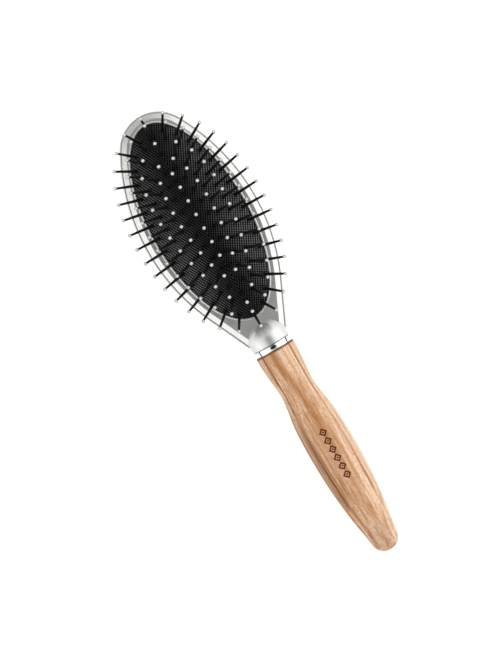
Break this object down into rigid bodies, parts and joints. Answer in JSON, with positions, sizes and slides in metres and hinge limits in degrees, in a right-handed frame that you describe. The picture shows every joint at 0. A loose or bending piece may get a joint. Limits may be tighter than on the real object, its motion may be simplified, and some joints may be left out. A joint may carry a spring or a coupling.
{
  "type": "cushioned hair brush",
  "caption": "Oval cushioned hair brush: silver teardrop head, domed rubber pad with rings of ball-tipped pins, chrome band and turned wooden handle.",
  "frame": {"origin": "under the middle of the brush, on the plane it lies on, back down", "axes": "+Y from the handle's end to the head's end, +Z from the back to the pins, +X across the head"},
  "size_m": [0.0664, 0.2404, 0.0422],
  "materials": {
    "silver_plastic": "satin metallic silver lacquer on moulded plastic",
    "black_plastic": "plain moulded",
    "cushion_rubber": "matt, fine diamond mesh texture",
    "black_nylon": "smooth, slightly glossy",
    "grey_tips": "smooth glossy beads",
    "steel": "zinc plated",
    "brass": "turned",
    "chrome": "polished",
    "wood": "satin lacquered light wood with lengthwise grain"
  },
  "bodies": {
    "body": {"head_frame": "silver_plastic", "back_shell": "silver_plastic", "retaining_ring": "black_plastic", "ring_screws": "steel", "cushion_pad": "cushion_rubber", "captive_nut": "steel", "joining_stud": "steel", "threaded_insert": "brass", "chrome_band": "chrome", "handle": "wood"},
    "outer_ring": {"outer_ring_pins": "black_nylon", "outer_ring_tips": "grey_tips"},
    "second_ring": {"second_ring_pins": "black_nylon", "second_ring_tips": "grey_tips"},
    "third_ring": {"third_ring_pins": "black_nylon", "third_ring_tips": "grey_tips"},
    "inner_ring": {"inner_ring_pins": "black_nylon", "inner_ring_tips": "grey_tips"},
    "centre_row": {"centre_row_pins": "black_nylon", "centre_row_tips": "grey_tips"}
  },
  "joints": [
    {"name": "centre_row_press", "type": "slide", "parent": "body", "child": "centre_row", "axis": [0, 0, 1], "range_m": [-0.005, 0], "stiffness_N_per_m": 300, "deforming": ["cushion_pad"]},
    {"name": "outer_ring_press", "type": "slide", "parent": "body", "child": "outer_ring", "axis": [0, 0, 1], "range_m": [-0.00075, 0], "stiffness_N_per_m": 300},
    {"name": "second_ring_press", "type": "slide", "parent": "body", "child": "second_ring", "axis": [0, 0, 1], "range_m": [-0.0025, 0], "stiffness_N_per_m": 300},
    {"name": "third_ring_press", "type": "slide", "parent": "body", "child": "third_ring", "axis": [0, 0, 1], "range_m": [-0.00375, 0], "stiffness_N_per_m": 300},
    {"name": "inner_ring_press", "type": "slide", "parent": "body", "child": "inner_ring", "axis": [0, 0, 1], "range_m": [-0.0046, 0], "stiffness_N_per_m": 300}
  ],
  "couplings": [
    {"joint": "outer_ring_press", "follows": "centre_row_press", "ratio": 0.15},
    {"joint": "second_ring_press", "follows": "centre_row_press", "ratio": 0.5},
    {"joint": "third_ring_press", "follows": "centre_row_press", "ratio": 0.75},
    {"joint": "inner_ring_press", "follows": "centre_row_press", "ratio": 0.92}
  ]
}
